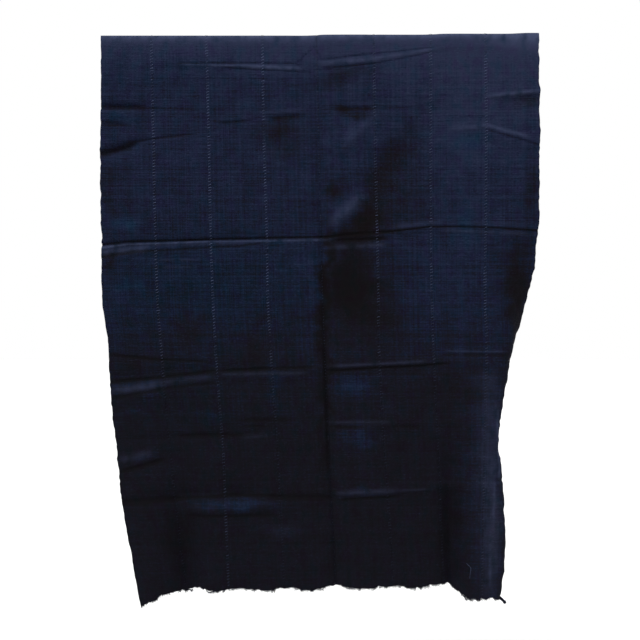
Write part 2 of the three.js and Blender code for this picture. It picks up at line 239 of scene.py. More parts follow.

# The tone down the cloth: down, tone. It is palest at the top, partly a painted highlight below
# the turned edge, and darker towards the bottom
TONE_DOWN_THE_CLOTH = [(0, 1), (25, 0.9), (60, 0.74), (110, 0.62), (200, 0.55), (400, 0.5), (520, 0.44),
            (600, 0.38), (760, 0.29), (860, 0.2), (1020, 0.15), (1200, 0.142), (1400, 0.14)]

# How pale the turned-over top edge is, partly from wear and partly a painted highlight where the
# turn faces the light: length, share. The pale band is wider at the right end.
TOP_WEAR_AND_HIGHLIGHT = [(-12, 0), (-4, 0.9), (4, 1.4), (9, 1.3), (13, 0.95), (17, 0.6), (22, 0.36),
            (28, 0.15), (36, 0)]
TOP_PALE_BAND_WIDENS = (0.8, 360, 520)

# Lighter and darker places, partly uneven dye and partly painted highlight and painted shade on
# the folds and edges: x, down, half length, half width, degrees it climbs, lift, and a shift of
# hue, to green-blue above 0 and to brown below
DYE_AND_PAINTED_LIGHT_PLACES = [
    (400, 150, 200, 260, 0, 0.22, 0), (150, 40, 500, 26, 0, 0.1, 0),
    (-400, 85, 170, 60, 0, -0.06, 0.15), (508, 16, 60, 26, 0, 0.25, 0),
    (-484, 196, 26, 11, 0, 0.1, 0.9), (-484, 460, 34, 16, 0, 0.32, 0.9),
    (-519, 400, 14, 46, 0, -0.12, -0.5), (-519, 340, 30, 26, 0, -0.1, -0.3),
    (-92, 238, 52, 30, 0, -0.16, -0.8), (-92, 288, 34, 18, 0, -0.02, -0.5),
    (60, 105, 62, 24, 12, -0.26, -0.8), (80, 190, 60, 12, 0, -0.2, -0.6),
    (165, 335, 155, 32, 58, -0.24, -0.6), (215, 395, 55, 90, 0, -0.12, -0.4),
    (110, 455, 62, 36, 20, -0.28, -0.6), (33, 376, 26, 28, 0, -0.26, -0.6),
    (85, 240, 60, 22, 45, 0.12, 0), (60, 432, 60, 20, 40, 0.32, 0),
    (361, 265, 44, 20, 0, 0.14, 0.9), (348, 465, 22, 40, 0, 0.16, 0.9),
    (500, 161, 36, 14, 0, -0.06, -0.9), (518, 378, 16, 60, 0, -0.22, -0.6),
    (440, 330, 60, 60, 0, -0.08, 0), (-146, 507, 30, 6, 0, 0.15, 0.9),
    (-519, 560, 18, 26, 0, -0.2, -0.7), (-470, 610, 34, 14, 0, 0.1, 0.7),
    (-500, 640, 40, 60, 0, 0.12, 0), (-323, 715, 60, 46, 0, -0.12, -0.5),
    (-160, 765, 46, 54, 0, -0.12, -0.4), (-60, 560, 60, 60, 0, 0.08, 0.1),
    (-300, 620, 260, 130, 0, 0.07, 0.6), (-300, 880, 260, 110, 0, 0.02, 0.2),
    (-18, 640, 16, 120, 0, 0.1, 0), (14, 610, 10, 160, 0, -0.4, -0.4),
    (85, 605, 62, 105, 0, -0.5, -0.3), (67, 635, 36, 36, 0, -0.2, -0.2),
    (150, 700, 60, 50, 0, -0.12, -0.3), (305, 610, 130, 120, 0, 0.14, 0.1),
    (486, 620, 26, 120, 0, -0.3, -0.7), (-450, 800, 50, 20, 0, -0.06, -0.5),
    (-440, 862, 70, 16, 9, 0.16, 0), (-444, 909, 20, 14, 0, 0.14, 0),
    (-264, 925, 26, 22, 0, 0.1, 0.5), (-160, 880, 90, 26, 0, 0.02, -0.2),
    (76, 862, 46, 24, 0, 0.34, 0.4), (-118, 867, 16, 50, 0, 0.1, 0.5),
    (97, 986, 48, 28, 0, 0.26, 0.1), (330, 770, 60, 14, 0, 0.1, 0),
    (350, 860, 60, 60, 0, -0.03, -0.3), (-441, 1029, 36, 16, 14, 0.2, 0),
    (-216, 1151, 110, 18, 0, 0.24, 0.25), (-182, 1149, 46, 14, 0, 0.12, 0.3),
    (-270, 1159, 40, 10, 0, 0.1, -0.1), (110, 1121, 76, 10, 4, 0.16, 0),
    (110, 1230, 120, 110, 0, -0.035, 0), (-348, 1240, 34, 90, 0, -0.1, -0.2),
    (-86, 1212, 34, 16, 0, 0.14, 0), (308, 1230, 34, 100, 0, -0.14, -0.2),
    (395, 1290, 46, 110, 0, -0.03, -0.1), (422, 1260, 22, 110, 0, 0.24, -0.4),
    (418, 1070, 34, 280, 0, 0.26, -0.4), (434, 1000, 8, 120, 0, 0.2, 0),
    (385, 1130, 60, 270, 0, 0.21, -0.5), (184, 911, 32, 20, 0, 0.06, 0),
    (12, 900, 10, 170, 0, -0.16, -0.2),
]

# How the edges of these places wander: shift across and down, cell across and down
PLACE_EDGE_WANDERS = [(16, 12, 46, 34), (8, 6, 17, 13)]

# The back fall takes the tone of the front this far down, and the inner face has one tone
BACK_TONE_AS_AT = 320
INNER_TONE = 0.45

# The share of its darkness that a crease takes off the tone, as painted shade, and how far its
# ends fade
CREASE_PAINTED_SHADE = 0.45
END_FADE = 18

# How much closer the mesh's rows are at the top, at the main creases and at the sharp ones, and
# within what reach
ROWS_AT_TOP = 1.2
ROWS_AT_CREASES = 0.8
ROWS_AT_SHARP_CREASES = 1.6
ROWS_REACH = 20
ROWS_SHARP_REACH = 5

# The rows are found at fine steps along the cloth at many places across it, evened out over some
# of those, and drawn out to the ragged ends only near them
FINE_STEPS = 1600
ROW_PLACES = 33 * STRIPS + 1
ROWS_EVENED = 12
RAGGED_WITHIN = 50

# A strip's columns at each edge, the band that they take, and how wide its thinner selvedge is
EDGE_COLUMNS = [0, 0.7, 2, 4.5]
EDGE_BAND = 8
SELVEDGE = 3

# The loose thread, on the seventh strip: part of the strip's width, down
LOOSE_THREAD_STRIP = 6
LOOSE_THREAD = [(0.62, 1291), (0.67, 1296), (0.715, 1303), (0.7, 1314), (0.69, 1327)]

# The twisted tail at the lower right corner: where it starts from the corner, how far it reaches,
# its bow and turns, and each ply's offset and radius
TAIL_STARTS = (-6, 0, 3)
TAIL_REACHES = (21, -2, -17)
TAIL_BOW = 8
TAIL_TURNS = 4.5
PLY_OFFSET = 2.0
PLY_RADIUS = 2.7

# The middle of the picture, below the top edge, and the usual face, in front of the line
CAMERA_DOWN = 695.8
FACE_FORWARD = 13

# Faces that meet within this many degrees are shaded smooth
SMOOTH_WITHIN = 62

NOISE_CELLS = 64
RNG_SEED = 7


def size_field(name, description, default, low, high):
    """A size that a user can change."""
    return FloatProperty(name=name, description=description, default=default, min=low, max=high,
                         unit="LENGTH", subtype="DISTANCE")


def share_field(name, description, default, low, high):
    """A share that a user can change."""
    return FloatProperty(name=name, description=description, default=default, min=low, max=high,
                         subtype="FACTOR")


def colour_field(name, description, default):
    """A colour that a user can change."""
    return FloatVectorProperty(name=name, description=description, default=default, size=3,
                               min=0, max=1, subtype="COLOR")


class ClothSizes(bpy.types.PropertyGroup):
    """Sizes of the woven strips."""

    thickness: size_field(
        "Cloth thickness", "Thickness of the woven cotton", 0.0012, 0.0004, 0.003)
    selvedge_share: share_field(
        "Selvedge share", "How thick a strip's edge is, as a share of the cloth", 0.5, 0.2, 1)
    row_spacing: size_field(
        "Row spacing", "Usual distance between rows of the mesh", 0.0027, 0.001, 0.02)
    column_spacing: size_field(
        "Column spacing", "Usual distance between columns of the mesh", 0.006, 0.001, 0.02)
    warp_spacing: size_field(
        "Warp spacing", "Distance between threads that run down a strip", 0.0011, 0.0003, 0.004)
    weft_spacing: size_field(
        "Weft spacing", "Distance between threads that cross a strip", 0.0013, 0.0003, 0.004)


class SewingSizes(bpy.types.PropertyGroup):
    """Sizes of the sewing and of the frayed ends."""

    stitch_pitch: size_field(
        "Stitch pitch", "Distance from one stitch to the next", 0.0073, 0.002, 0.03)
    stitch_reach: size_field(
        "Stitch reach", "How far a stitch reaches to each side of the seam", 0.0036, 0.0005, 0.01)
    thread_radius: size_field(
        "Sewing thread radius", "Radius of the sewing thread", 0.00045, 0.0001, 0.002)
    fray_spacing: size_field(
        "Fray spacing", "Distance between loose ends along a raw end", 0.00085, 0.0004, 0.01)
    fray_length: size_field("Fray length", "Length of the longest loose ends", 0.011, 0.001, 0.05)
    fray_radius: size_field(
        "Fray radius", "Radius of a loose end at its root", 0.00058, 0.0001, 0.001)


class ClothColours(bpy.types.PropertyGroup):
    """Colours of the dyed cotton and the sewing."""

    deep: colour_field("Deepest dye", "Where the dye is nearly black", (0.0043, 0.0040, 0.0053))
    dusky: colour_field(
        "Dusky dye", "Between the deepest dye and the indigo", (0.0056, 0.0056, 0.0098))
    indigo: colour_field("Indigo", "The usual dye", (0.0060, 0.0094, 0.0248))
    pale: colour_field("Pale indigo", "Where the dye is lighter", (0.0158, 0.0205, 0.0450))
    # Mixed in for wear and for painted highlight, on the creases and over the turned top edge
    wear_and_highlight: colour_field("Worn crease", "Along the worn creases", (0.038, 0.048, 0.092))
    teal: colour_field(
        "Green-blue", "What the dye keeps of each colour where it is green-blue", (0.5, 1, 0.95))
    brown: colour_field(
        "Brown", "What the dye keeps of each colour where it is brown", (1, 0.82, 0.62))
    violet: colour_field(
        "Violet", "What the dye keeps of each colour where it is violet", (1, 0.68, 0.92))
    thread: colour_field("Sewing thread", "The paler sewing thread", (0.080, 0.098, 0.175))


class StudioSizes(bpy.types.PropertyGroup):
    """The floor, the camera and the lights."""

    camera_distance: size_field(
        "Camera distance", "From the camera to the face of the cloth", 4.2, 1, 20)
    frame_height: size_field("Frame height", "Height of the picture at the cloth", 1.562, 0.5, 5)
    floor_level: size_field("Floor level", "Height of the floor, below the line", -1.72, -5, -1.45)
    light: share_field("Light", "Brightness of the lamps, against the usual", 1, 0.1, 10)


# The shape of the cloth


def ease(low, high, value):
    """From 0 at low to 1 at high, smooth at both ends."""
    t = np.clip((value - low) / (high - low), 0, 1)
    return t * t * (3 - 2 * t)


def look_up(places, values, at):
    """A smooth curve through a table: the values' column where the places' one is at."""
    places, values, at = (np.asarray(v, float) for v in (places, values, at))
    last = len(places) - 1
    i = np.clip(np.searchsorted(places, at) - 1, 0, last - 1)
    before, after = np.maximum(i - 1, 0), np.minimum(i + 2, last)
    step = places[i + 1] - places[i]
    t = np.clip((at - places[i]) / step, 0, 1)
    leave = (values[i + 1] - values[before]) / (places[i + 1] - places[before]) * step
    arrive = (values[after] - values[i]) / (places[after] - places[i]) * step
    rest = 1 - t
    return (rest**2 * (1 + 2 * t) * values[i] + t**2 * (3 - 2 * t) * values[i + 1]
            + rest**2 * t * leave - t**2 * rest * arrive)


def column(table, number):
    return [row[number] for row in table]


def from_table(table, at, number=1):
    """A smooth curve through one column of a table, against its first column."""
    return look_up(column(table, 0), column(table, number), at)


def soft_noise(seed, a, b):
    """Noise from -1 to 1 over cells of size 1, smooth between them; each use has its own seed."""
    grid = np.random.default_rng(RNG_SEED * 100 + seed).uniform(-1, 1, (NOISE_CELLS, NOISE_CELLS))
    a, b = np.broadcast_arrays(np.asarray(a, float), np.asarray(b, float))
    i, j = np.floor(a).astype(int), np.floor(b).astype(int)
    s, t = ease(0, 1, a - i), ease(0, 1, b - j)

    def at(p, q):
        return grid[(i + p) % NOISE_CELLS, (j + q) % NOISE_CELLS]

    near = at(0, 0) * (1 - s) + at(1, 0) * s
    far = at(0, 1) * (1 - s) + at(1, 1) * s
    return near * (1 - t) + far * t


def seam_x(line, down):
    """The x of the left edge, line 0, or of a seam, 1 to 7."""
    return from_table(LEANS, down, line + 1)


def right_turn(distance, down):
    """The last strip's path from its seam: how far right, how far back, how much it faces out."""
    turned, starts, takes = (from_table(RIGHT_TURN, down, number) for number in (1, 2, 3))
    most = np.radians(turned)
    piece = distance / TURN_PIECES
    right, back = np.zeros_like(down, float), np.zeros_like(down, float)
    for i in range(TURN_PIECES):
        angle = most * ease(starts, starts + takes, (i + 0.5) * piece)
        right = right + np.cos(angle) * piece
        back = back + np.sin(angle) * piece
    return right, back, np.maximum(np.cos(angle), 0)


def below_top(down):
    """From 0 at the line to 1 where the creases and dark places show in full."""
    return ease(TOP_RADIUS, TOP_RADIUS * 3, down)


def turned_place(x, down, form):
    """How near a place is to the middle of a long form that climbs: 1 there, fading out."""
    form_x, form_down, long, wide, climbs = form
    cos, sin = math.cos(math.radians(climbs)), math.sin(math.radians(climbs))
    right, up = x - form_x, form_down - down
    along, beside = (right * cos + up * sin) / long, (up * cos - right * sin) / wide
    return np.exp(-(along**2) - beside**2)


def broad_relief(across, x, down):
    """How far the main creases and folds stand out."""
    sum_of = np.zeros(np.broadcast(across, x, down).shape)
    for wide, downs, rises in CREASES:
        away = (down - look_up(CREASE_PLACES, downs, across)) / wide
        sum_of += look_up(CREASE_PLACES, rises, across) / (1 + away**2)
    for place, starts, full, wide, rise in UPRIGHT_FOLDS:
        sum_of += rise * ease(starts, full, down) * np.exp(-(((across - place) / wide) ** 2))
    for *form, rise in SOFT_FORMS:
        sum_of += rise * turned_place(x, down, form)
    return below_top(down) * sum_of


def hung_surface(strip, part, length):
    """The cloth's middle surface: (x, y, z) of a place on a strip as it hangs, and its down."""
    part, length = np.broadcast_arrays(np.asarray(part, float), np.asarray(length, float))
    travelled = np.abs(length)
    turn = np.minimum(travelled, QUARTER_TURN) / MIDDLE_RADIUS
    fall = np.maximum(travelled - QUARTER_TURN, 0)
    z = MIDDLE_RADIUS * np.cos(turn) - TOP_RADIUS - fall
    front = length > 0
    down = np.where(front, np.maximum(-z, 0), 0)
    x, back, facing = seam_x(strip, down), 0, 1
    if strip == LAST_STRIP:
        right, back, facing = right_turn(part * LAST_STRIP_WIDTH, down)
        x = x + right
    else:
        x = x + (seam_x(strip + 1, down) - x) * part
    fades = 1 - ease(0, TOP_LEVEL_ENDS, down + np.where(front, 0, fall))
    level = from_table(TOP_LEVEL, x) * fades
    round_it = MIDDLE_RADIUS * np.sin(turn)
    forward = sum(amount * ease(starts, full, down) for amount, starts, full in FRONT_LEANS)
    face_y = back - round_it - forward - facing * broad_relief(strip + part, x, down)
    y = np.where(front, face_y, round_it + BACK_LEAN * ease(0, BACK_FALL, fall))
    return np.stack([x, y, z + level], axis=-1), down


def unit(vectors):
    return vectors / np.maximum(np.linalg.norm(vectors, axis=-1, keepdims=True), 1e-12)


def directions(strip, part, length):
    """Unit vectors to the right, down along the hung cloth and out of its face."""
    step_across, step_along = 0.004, 0.5
    right = (hung_surface(strip, np.minimum(part + step_across, 1), length)[0]
             - hung_surface(strip, np.maximum(part - step_across, 0), length)[0])
    along = (hung_surface(strip, part, length + step_along)[0]
             - hung_surface(strip, part, length - step_along)[0])
    return unit(right), unit(along), unit(np.cross(along, right))


def out_of_face(strip, part, length):
    """The way out of the hung face, the same from both sides of a seam."""
    outward = directions(strip, part, length)[2]
    for at, neighbour in ((0, strip - 1), (1, strip + 1)):
        if 0 <= neighbour < STRIPS:
            beside = directions(neighbour, np.full_like(part, 1 - at), length)[2]
            outward = np.where((part == at)[..., None], unit(outward + beside), outward)
    return outward


def crease_strengths(x, down, creases=ALL_CREASES, widened=0):
    """Of each sharp crease at each place: its strength from 0 to 1, its rise and its tone, pale
    from wear and painted highlight above 0 and dark from painted shade below 0.
    """
    for x0, down0, x1, down1, bow, wide, rise, wear_and_painted_light in creases:
        across, drop = x1 - x0, down1 - down0
        long = math.hypot(across, drop)
        t = ((x - x0) * across + (down - down0) * drop) / long**2
        beside = ((down - down0) * across - (x - x0) * drop) / long
        beside = beside - 4 * bow * t * (1 - t)
        fade = END_FADE / long
        ends = ease(-fade, fade, t) * ease(-fade, fade, 1 - t)
        yield ends * np.exp(-((beside / (wide + widened)) ** 2)), rise, wear_and_painted_light


def fine_relief(strip, part, length, x, down):
    """How far the sharp creases, small folds and seams stand out of the hung surface."""
    across = (strip + part) * STRIP_WIDTH
    front = below_top(down)
    sum_of = np.zeros_like(x)
    for strength, rise, _ in crease_strengths(x, down):
        sum_of += front * rise * strength
    for number, (wide, long, rise) in enumerate(WRINKLES):
        sum_of += (rise * soft_noise(number, across / wide, length / long)
                   * ease(0, WRINKLES_FULL_AT, np.abs(length)))
    if strip == LAST_STRIP:
        bumps = sum(amount * soft_noise(24 + number, length / cell, part * 3)
                    for number, (cell, amount) in enumerate(EDGE_WAVES))
        sum_of += bumps * ease(*TURN_WAVES_DOWN, down) * ease(*TURN_WAVES_PART, part)
    for seam in range(1, STRIPS):
        away = across - seam * STRIP_WIDTH
        share = SEAM_SHARE_HIGH_UP + (1 - SEAM_SHARE_HIGH_UP) * ease(*SEAM_DEEPENS, down)
        deep = SEAM_DEPTHS[seam - 1] * share
        sum_of -= deep * np.exp(-((away / SEAM_HALF_WIDTH) ** 2))
        pucker = PUCKER_RISE * soft_noise(10 + seam, length / PUCKER_CELL, 0.5)
        sum_of += pucker * np.exp(-((away / PUCKER_HALF_WIDTH) ** 2))
    return sum_of


def cloth_surface(strip, part, length):
    """The finished middle surface, with all its creases and folds."""
    middle, down = hung_surface(strip, part, length)
    right = directions(strip, part, length)[0]
    rise = fine_relief(strip, part, length, middle[..., 0], down)
    middle = middle + rise[..., None] * out_of_face(strip, part, length)
    if strip in (0, LAST_STRIP):
        from_edge = (part if strip == 0 else 1 - part) * STRIP_WIDTH
        shift = sum(amount * soft_noise(20 + number + strip, length / cell, 0.5)
                    for number, (cell, amount) in enumerate(EDGE_WAVES))
        shift = shift * np.exp(-((from_edge / EDGE_WAVE_REACH) ** 2))
        middle = middle + shift[..., None] * right
    return middle, down


def length_at(down):
    """The length along the cloth at a place down its front."""
    return QUARTER_TURN + down - TOP_RADIUS


def strip_and_part(across):
    """The strip at a place across the cloth, and the part of its width there."""
    strip = min(int(across), LAST_STRIP)
    return strip, across - strip


def even_ends(across):
    """The lengths of the back end and the hem, without their raggedness."""
    return -(QUARTER_TURN + BACK_FALL), length_at(from_table(HEM, across))


def hem_length(across):
    """The length at which the ragged lower end lies."""
    ragged = sum(amount * soft_noise(31 + number, across * cells, 0.5)
                 for number, (cells, amount) in enumerate(HEM_RAGGED))
    return even_ends(across)[1] + ragged


def back_length(across):
    """The length at which the ragged back end lies."""
    cells, amount = BACK_RAGGED
    return even_ends(across)[0] - amount * soft_noise(33, across * cells, 0.5)


def row_lengths(across, count):
    """The lengths of the mesh's rows, closer together at the creases and over the top."""
    fine = np.linspace(*even_ends(across), FINE_STEPS)
    weight = 1 + ROWS_AT_TOP * np.exp(-((fine / ROWS_REACH) ** 2))
    for _, downs, _ in CREASES:
        middle = length_at(look_up(CREASE_PLACES, downs, across))
        weight += ROWS_AT_CREASES * np.exp(-(((fine - middle) / ROWS_REACH) ** 2))
    some = fine[::8]
    x = np.interp(fine, some, hung_surface(*strip_and_part(across), some)[0][..., 0])
    down = np.maximum(fine - length_at(0), 0)
    drawn = np.zeros_like(fine)
    for strength, _, _ in crease_strengths(x, down, SHARP_CREASES, ROWS_SHARP_REACH):
        drawn = np.maximum(drawn, strength)
    share = np.cumsum(weight + ROWS_AT_SHARP_CREASES * drawn)
    share = (share - share[0]) / (share[-1] - share[0])
    return np.interp(np.linspace(0, 1, count), share, fine)


def row_table(count):
    """The rows' lengths at places across the whole cloth, evened out from place to place."""
    places = np.linspace(0, STRIPS, ROW_PLACES)
    table = np.array([row_lengths(place, count) for place in places])
    table = np.pad(table, ((ROWS_EVENED, ROWS_EVENED), (0, 0)), "reflect", reflect_type="odd")
    near = np.arange(2 * ROWS_EVENED + 1)
    weights = np.exp(-((2 * near / ROWS_EVENED - 2) ** 2))
    evened = sum(weight * table[n:n + ROW_PLACES] for n, weight in enumerate(weights))
    return places, evened / weights.sum()


def strip_rows(strip, parts, rows):
    """The lengths of a strip's mesh rows at its columns, out to both ragged ends."""
    places, table = rows
    across = strip + parts
    lengths = np.array([np.interp(across, places, row) for row in table.T]).T
    back, hem = even_ends(across)
    to_hem = (hem_length(across) - hem)[:, None] * ease(-RAGGED_WITHIN, 0, lengths - hem[:, None])
    to_back = (back_length(across) - back)[:, None] * ease(RAGGED_WITHIN, 0, lengths - back)
    return lengths + to_hem + to_back


def dye_and_painted_light_of(x, down, length):
    """The colour at each place: its tone, with painted shade and highlight besides the dye, how
    pale it is from wear and painted highlight, and its shift of hue.
    """
    front = length > 0
    tone = np.interp(np.where(front, down, BACK_TONE_AS_AT), *zip(*TONE_DOWN_THE_CLOTH))
    wander_x, wander_down = (
        sum(wander[way] * soft_noise(90 + 2 * way + number, x / wander[2], down / wander[3])
            for number, wander in enumerate(PLACE_EDGE_WANDERS))
        for way in (0, 1))
    hue, wear_and_highlight = np.zeros_like(tone), np.zeros_like(tone)
    # Uneven dye, and painted highlight and painted shade on the folds, in places
    for *form, lift, shift in DYE_AND_PAINTED_LIGHT_PLACES:
        near = np.where(front, turned_place(x + wander_x, down + wander_down, form), 0)
        tone += lift * near
        hue += shift * near
    shows = np.where(front, below_top(down), 0)
    for strength, _, wear_and_painted_light in crease_strengths(x, down):
        if wear_and_painted_light > 0:
            # A pale line, wear and painted highlight, is fainter where the tone is deep
            wear_and_highlight = np.maximum(wear_and_highlight, wear_and_painted_light * strength * shows * np.clip(0.2 + tone, 0.25, 1))
        else:
            # A dark line is painted shade in the crease
            tone += CREASE_PAINTED_SHADE * wear_and_painted_light * strength * shows
    # Over the turned top edge, a pale band of wear and painted highlight
    more, starts, full = TOP_PALE_BAND_WIDENS
    wider = 1 + more * ease(starts, full, x)
    wear_and_highlight = np.maximum(wear_and_highlight, np.interp(length / wider, *zip(*TOP_WEAR_AND_HIGHLIGHT)))
    return tone, wear_and_highlight, hue


# Meshes


def new_piece(name, places, faces, material, attributes, uv=None):
    """An object at the origin with its places in its mesh, which rides on the part.

    The attributes hold a value for each point, and so does the UV map where a piece has one.
    """
    mesh = bpy.data.meshes.new(name)
    mesh.from_pydata((np.asarray(places) * MM).tolist(), [], faces)
    for title, values in attributes.items():
        layer = mesh.attributes.new(title, "FLOAT", "POINT")
        layer.data.foreach_set("value", np.asarray(values, np.float32).ravel())
    if uv is not None:
        corners = np.zeros(len(mesh.loops), np.int32)
        mesh.loops.foreach_get("vertex_index", corners)
        layer = mesh.uv_layers.new(name="cloth_uv")
        layer.data.foreach_set("uv", np.asarray(uv, np.float32)[corners].ravel())
    mesh.materials.append(material)
    mesh.update()
    piece = bpy.data.objects.new(name, mesh)
    bpy.context.scene.collection.objects.link(piece)
    bpy.ops.object.select_all(action="DESELECT")
    piece.select_set(True)
    bpy.context.view_layer.objects.active = piece
    bpy.ops.object.shade_smooth_by_angle(angle=math.radians(SMOOTH_WITHIN))
    piece.select_set(False)
    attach(piece, "root")
    return piece


def closed_sheet(middle, outward, thickness):
    """Front and back of a grid of points, columns by rows, closed round its four edges."""
    columns, rows = middle.shape[:2]
    half = 0.5 * thickness[..., None] * outward
    places = np.concatenate([(middle + half).reshape(-1, 3), (middle - half).reshape(-1, 3)])
    front = np.arange(columns * rows).reshape(columns, rows)
    back = front + columns * rows

    def quads(a, b, c, d):
        return np.stack([v.ravel() for v in (a, b, c, d)], axis=1)

    faces = np.concatenate([
        quads(front[:-1, :-1], front[:-1, 1:], front[1:, 1:], front[1:, :-1]),
        quads(back[1:, :-1], back[1:, 1:], back[:-1, 1:], back[:-1, :-1]),
        quads(front[1:, 0], back[1:, 0], back[:-1, 0], front[:-1, 0]),
        quads(front[:-1, -1], back[:-1, -1], back[1:, -1], front[1:, -1]),
        quads(front[0, :-1], back[0, :-1], back[0, 1:], front[0, 1:]),
        quads(front[-1, 1:], back[-1, 1:], back[-1, :-1], front[-1, :-1]),
    ])
    return places, faces.tolist()


def tubes(paths, aside, radii, sides):
    """Round closed tubes along many paths of the same number of points at once."""
    along = unit(np.gradient(paths, axis=1))
    side = unit(aside - along * (aside * along).sum(-1, keepdims=True))
    other = np.cross(along, side)
    angle = np.arange(sides) * 2 * math.pi / sides
    spread = (np.cos(angle)[:, None] * side[:, :, None] + np.sin(angle)[:, None]
              * other[:, :, None])
    places = paths[:, :, None] + radii[..., None, None] * spread
    count, points = paths.shape[:2]
    number = np.arange(count * points * sides).reshape(count, points, sides)
    after = np.roll(number, -1, axis=2)
    walls = np.stack([number[:, :-1], after[:, :-1], after[:, 1:], number[:, 1:]], axis=-1)
    faces = walls.reshape(-1, 4).tolist()
    faces += number[:, 0, ::-1].tolist() + number[:, -1].tolist()
    return places.reshape(-1, 3), faces


def new_threads(name, paths, aside, radii, sides, material, tone):
    """A piece of round threads, with one tone or one for each of its points."""
    places, faces = tubes(paths, aside, radii, sides)
    tones = np.broadcast_to(tone, len(places))
    return new_piece(name, places, faces, material, {"tone": tones})


# Materials


class Graph:
    """Adds nodes to a tree and joins them."""

    def __init__(self, tree):
        self.tree = tree

    def add(self, kind, sockets=(), **settings):
        """A node with its settings, then its sockets, each joined or set to a value."""
        made = self.tree.nodes.new(kind)
        made.location = (180 * (len(self.tree.nodes) % 8), -220 * (len(self.tree.nodes) // 8))
        for name, value in settings.items():
            setattr(made, name, value)
        for name, value in dict(sockets).items():
            if isinstance(value, bpy.types.NodeSocket):
                self.join(value, made.inputs[name])
            else:
                made.inputs[name].default_value = value
        return made

    def join(self, output, socket):
        """Links an output to an input socket."""
        self.tree.links.new(output, socket)

    def math(self, operation, a, b=0.5, c=0.5):
        return self.add("ShaderNodeMath", {0: a, 1: b, 2: c}, operation=operation).outputs[0]

    def times(self, a, b):
        return self.math("MULTIPLY", a, b)

    def plus(self, a, b):
        return self.math("ADD", a, b)

    def mix(self, factor, a, b, way="MIX"):
        made = self.add("ShaderNodeMix", {0: factor, 6: a, 7: b}, data_type="RGBA",
                        blend_type=way)
        return made.outputs[2]

    def noise(self, vector, scale, detail=2.0):
        made = self.add("ShaderNodeTexNoise",
                        {"Vector": vector, "Scale": scale, "Detail": detail})
        return made.outputs["Fac"]

    def between(self, value, low, high):
        """From 0 where the value is low to 1 where it is high."""
        made = self.add("ShaderNodeMapRange", {"Value": value, "From Min": low, "From Max": high})
        return made.outputs[0]

    def stretch(self, vector, across, along):
        return self.add("ShaderNodeMapping",
                        {"Vector": vector, "Scale": (across, along, 1)}).outputs[0]


def new_group(name, inputs, outputs):
    """An empty node group with named sockets, its graph, and the nodes at its two ends."""
    tree = bpy.data.node_groups.new(name, "ShaderNodeTree")
    for title, kind in inputs:
        tree.interface.new_socket(title, in_out="INPUT", socket_type=kind)
    for title in outputs:
        tree.interface.new_socket(title, in_out="OUTPUT", socket_type="NodeSocketFloat")
    graph = Graph(tree)
    return tree, graph, graph.add("NodeGroupInput").outputs, graph.add("NodeGroupOutput").inputs


def hand_weave_group():
    """Over and under of hand-spun threads: their height and how each thread took the dye."""
    tree, graph, given, made = new_group(
        "Hand weave",
        [("Vector", "NodeSocketVector"), ("Warp Spacing", "NodeSocketFloat"),
         ("Weft Spacing", "NodeSocketFloat")],
        ["Height", "Thread Tone"])
    wander = graph.add("ShaderNodeTexNoise", {"Vector": given["Vector"], "Scale": 60.0})
    off = graph.add("ShaderNodeVectorMath", {0: wander.outputs["Color"], 1: (0.5, 0.5, 0.5)},
                    operation="SUBTRACT").outputs[0]
    off = graph.add("ShaderNodeVectorMath", {0: off, "Scale": 0.0022}, operation="SCALE")
    moved = graph.add("ShaderNodeVectorMath", {0: given["Vector"], 1: off.outputs[0]},
                      operation="ADD")
    place = graph.add("ShaderNodeSeparateXYZ", {0: moved.outputs[0]}).outputs

    def threads(across, spacing):
        """Of the threads that run one way: their wave, its height and each one's own tone."""
        number = graph.math("DIVIDE", across, spacing)
        wave = graph.math("SINE", graph.times(number, math.pi))
        tone = graph.add("ShaderNodeTexWhiteNoise", {"W": graph.math("FLOOR", number)},
                         noise_dimensions="1D")
        return wave, graph.math("ABSOLUTE", wave), tone.outputs["Value"]

    warp_wave, warp_round, warp_tone = threads(place["X"], given["Warp Spacing"])
    weft_wave, weft_round, weft_tone = threads(place["Y"], given["Weft Spacing"])
    warp_over = graph.math("GREATER_THAN", graph.times(warp_wave, weft_wave), 0.0)
    warp_high, weft_high = (
        graph.times(graph.math("MULTIPLY_ADD", crossed, 0.5, 0.5), own)
        for own, crossed in ((warp_round, weft_round), (weft_round, warp_round)))
    height = graph.add("ShaderNodeMix", {0: warp_over, 2: weft_high, 3: warp_high})
    tone = graph.add("ShaderNodeMix", {0: warp_over, 2: weft_tone, 3: warp_tone})
    graph.join(height.outputs[0], made["Height"])
    graph.join(tone.outputs[0], made["Thread Tone"])
    return tree


def uneven_dye_group():
    """Clouds and streaks of the dye bath, a drift of hue, and pale and dark flecks of thread."""
    tree, graph, given, made = new_group(
        "Uneven dye", [("Vector", "NodeSocketVector")],
        ["Cloud", "Streak", "Drift", "Pale Fleck", "Dark Fleck"])
    vector = given["Vector"]
    graph.join(graph.noise(graph.stretch(vector, 1.3, 1), 18, 3), made["Cloud"])
    down = graph.noise(graph.stretch(vector, 230, 20), 1, 2)
    over = graph.noise(graph.stretch(vector, 26, 250), 1, 2)
    graph.join(graph.plus(graph.times(down, 0.3), graph.times(over, 0.7)), made["Streak"])
    graph.join(graph.noise(graph.stretch(vector, 1.5, 1), 30, 1), made["Drift"])
    slubs = graph.noise(graph.stretch(vector, 150, 430), 1, 2)
    graph.join(graph.between(slubs, 0.57, 0.74), made["Pale Fleck"])
    graph.join(graph.between(slubs, 0.42, 0.27), made["Dark Fleck"])
    return tree


def new_material(name, constants):
    """A material, its graph and its shader, whose own sockets hold the constants."""
    material = bpy.data.materials.new(name)
    material.use_nodes = True
    shader = material.node_tree.nodes["Principled BSDF"]
    for socket, value in constants.items():
        shader.inputs[socket].default_value = value
    return material, Graph(material.node_tree), shader


def rgba(colour):
    return (*colour, 1.0)


